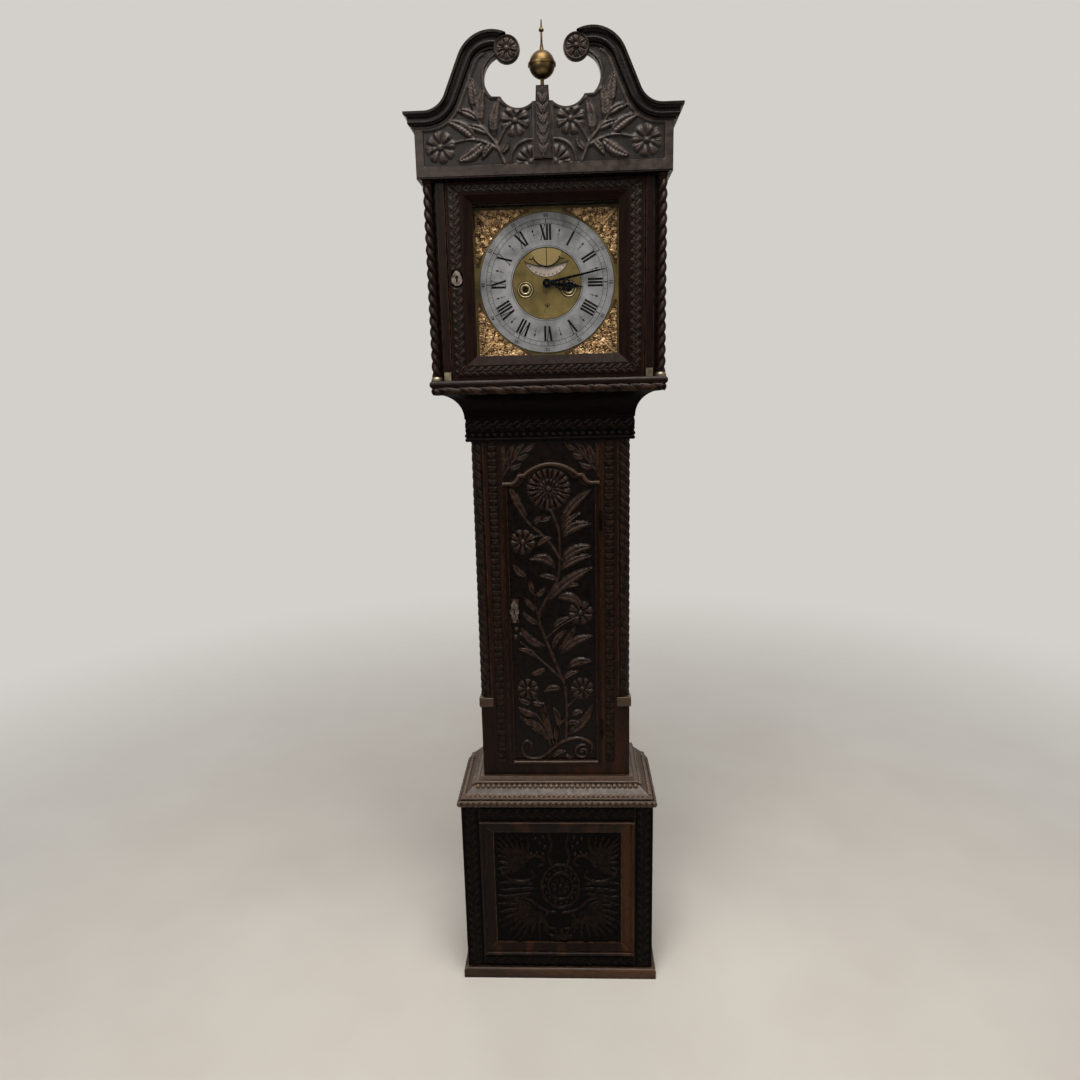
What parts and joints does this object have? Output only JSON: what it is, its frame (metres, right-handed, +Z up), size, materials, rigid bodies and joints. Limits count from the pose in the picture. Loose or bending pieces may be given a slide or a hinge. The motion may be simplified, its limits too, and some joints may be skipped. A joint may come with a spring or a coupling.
{
  "type": "longcase clock",
  "caption": "Tall carved oak longcase clock with swan-neck pediment, twisted hood columns, square brass dial, arched trunk door and panelled base; weight-driven pendulum movement inside.",
  "frame": {"origin": "on the floor under the middle of the overall box", "axes": "+Z up, -Y to the front (dial side), +X to the right as seen from the front"},
  "size_m": [0.54, 0.26, 2.118],
  "materials": {
    "dark_oak": "old dark oak, waxed",
    "brass": "aged brass",
    "gilt_brass": "gilt cast brass",
    "silvered_brass": "silvered brass, engraved",
    "blued_steel": "blued steel",
    "steel": "bright steel",
    "cast_iron": "bare cast iron",
    "gut": "gut line",
    "glass": "clear old glass"
  },
  "bodies": {
    "case": {"backboard": "dark_oak", "base_frame": "dark_oak", "base_panel": "dark_oak", "base_sides": "dark_oak", "base_floor": "dark_oak", "skirting": "dark_oak", "base_moulding": "dark_oak", "trunk_sides": "dark_oak", "trunk_frame": "dark_oak", "corner_columns": "dark_oak", "frieze": "dark_oak", "throat_moulding": "dark_oak", "seatboard": "dark_oak", "trunk_case_hinges": "brass", "movement_plates": "brass", "movement_pillars": "brass", "bell": "brass", "going_line": "gut", "strike_line": "gut", "dial_plate": "brass", "chapter_ring": "silvered_brass", "dial_spandrels": "gilt_brass", "dial_feet": "brass"},
    "hood": {"hood_base_frame": "dark_oak", "hood_sides": "dark_oak", "hood_uprights": "dark_oak", "dial_mask": "dark_oak", "hood_top_frame": "dark_oak", "pediment_board": "dark_oak", "hood_top_boards": "dark_oak", "cornice_mouldings": "dark_oak", "scroll_rosettes": "dark_oak", "finial_plinth": "dark_oak", "finial": "brass", "twisted_columns": "dark_oak", "column_mounts": "brass"},
    "hood_door_leaf": {"hood_door_frame": "dark_oak", "hood_door_glass": "glass", "hood_door_pins": "brass", "hood_door_escutcheon": "silvered_brass"},
    "trunk_door_leaf": {"trunk_door": "dark_oak", "trunk_door_hinges": "brass", "trunk_door_lock": "steel", "trunk_door_escutcheon": "silvered_brass"},
    "lock_bolt": {"trunk_lock_bolt": "steel"},
    "minute_set": {"minute_hand": "blued_steel"},
    "hour_set": {"hour_hand": "blued_steel"},
    "minute_wheel_set": {"minute_wheel": "brass"},
    "calendar": {"calendar_disc": "silvered_brass"},
    "going_barrel_set": {"going_barrel": "brass"},
    "centre_set": {"centre_wheel": "brass"},
    "third_set": {"third_wheel": "brass"},
    "escape_set": {"escape_wheel": "brass"},
    "strike_barrel_set": {"strike_barrel": "brass"},
    "pallet_set": {"pallets": "steel"},
    "pendulum": {"pendulum_rod": "steel", "pendulum_bob": "brass"},
    "hammer_set": {"hammer": "steel"},
    "going_weight_set": {"going_weight": "cast_iron"},
    "strike_weight_set": {"strike_weight": "cast_iron"}
  },
  "joints": [
    {"name": "hood_slide", "type": "slide", "parent": "case", "child": "hood", "axis": [0, -1, 0], "range_m": [0, 0.25]},
    {"name": "hood_door_hinge", "type": "hinge", "parent": "hood", "child": "hood_door_leaf", "pos_m": [0.197, -0.091, 1.6435], "axis": [0, 0, 1], "range_deg": [0, 110]},
    {"name": "trunk_door_hinge", "type": "hinge", "parent": "case", "child": "trunk_door_leaf", "pos_m": [0.1095, -0.053, 0.888], "axis": [0, 0, 1], "range_deg": [0, 120]},
    {"name": "lock_bolt_slide", "type": "slide", "parent": "trunk_door_leaf", "child": "lock_bolt", "axis": [-1, 0, 0], "range_m": [0, 0.009]},
    {"name": "minute_hand_turn", "type": "hinge", "parent": "case", "child": "minute_set", "pos_m": [0, -0.03, 1.646], "axis": [0, 1, 0], "continuous": true},
    {"name": "hour_hand_turn", "type": "hinge", "parent": "case", "child": "hour_set", "pos_m": [0, -0.03, 1.646], "axis": [0, 1, 0], "continuous": true},
    {"name": "minute_wheel_turn", "type": "hinge", "parent": "case", "child": "minute_wheel_set", "pos_m": [0, -0.02, 1.6172], "axis": [0, 1, 0], "continuous": true},
    {"name": "calendar_turn", "type": "hinge", "parent": "case", "child": "calendar", "pos_m": [0, -0.041, 1.70856], "axis": [0, 1, 0], "continuous": true},
    {"name": "third_wheel_turn", "type": "hinge", "parent": "case", "child": "third_set", "pos_m": [0.01074, 0.01, 1.67099], "axis": [0, 1, 0], "continuous": true},
    {"name": "centre_wheel_turn", "type": "hinge", "parent": "case", "child": "centre_set", "pos_m": [0, 0.01, 1.646], "axis": [0, 1, 0], "continuous": true},
    {"name": "escape_wheel_turn", "type": "hinge", "parent": "case", "child": "escape_set", "pos_m": [0, 0.01, 1.692], "axis": [0, 1, 0], "continuous": true},
    {"name": "going_barrel_turn", "type": "hinge", "parent": "case", "child": "going_barrel_set", "pos_m": [0.0455, 0.01, 1.6347], "axis": [0, 1, 0], "continuous": true},
    {"name": "strike_barrel_turn", "type": "hinge", "parent": "case", "child": "strike_barrel_set", "pos_m": [-0.0455, 0.01, 1.6347], "axis": [0, 1, 0], "continuous": true},
    {"name": "pendulum_swing", "type": "hinge", "parent": "case", "child": "pendulum", "pos_m": [0, 0.08, 1.722], "axis": [0, 1, 0], "range_deg": [-2.5, 2.5]},
    {"name": "pallet_swing", "type": "hinge", "parent": "case", "child": "pallet_set", "pos_m": [0, 0.01, 1.722], "axis": [0, 1, 0], "range_deg": [-2.6, 2.6]},
    {"name": "hammer_swing", "type": "hinge", "parent": "case", "child": "hammer_set", "pos_m": [0.05, 0.011, 1.7], "axis": [0, 1, 0], "range_deg": [0, 10], "stiffness_Nm_per_rad": 0.1, "springref_deg": -5.73},
    {"name": "going_weight_slide", "type": "slide", "parent": "case", "child": "going_weight_set", "axis": [0, 0, 1], "range_m": [0, 1.1], "deforming": ["going_line"]},
    {"name": "strike_weight_slide", "type": "slide", "parent": "case", "child": "strike_weight_set", "axis": [0, 0, 1], "range_m": [0, 1.1], "deforming": ["strike_line"]}
  ],
  "couplings": [
    {"joint": "hour_hand_turn", "follows": "minute_hand_turn", "ratio": 0.083333},
    {"joint": "minute_wheel_turn", "follows": "minute_hand_turn", "ratio": -1},
    {"joint": "centre_wheel_turn", "follows": "third_wheel_turn", "ratio": -0.13333},
    {"joint": "escape_wheel_turn", "follows": "third_wheel_turn", "ratio": -8},
    {"joint": "going_barrel_turn", "follows": "third_wheel_turn", "ratio": 0.011111},
    {"joint": "pallet_swing", "follows": "pendulum_swing", "ratio": 1}
  ]
}
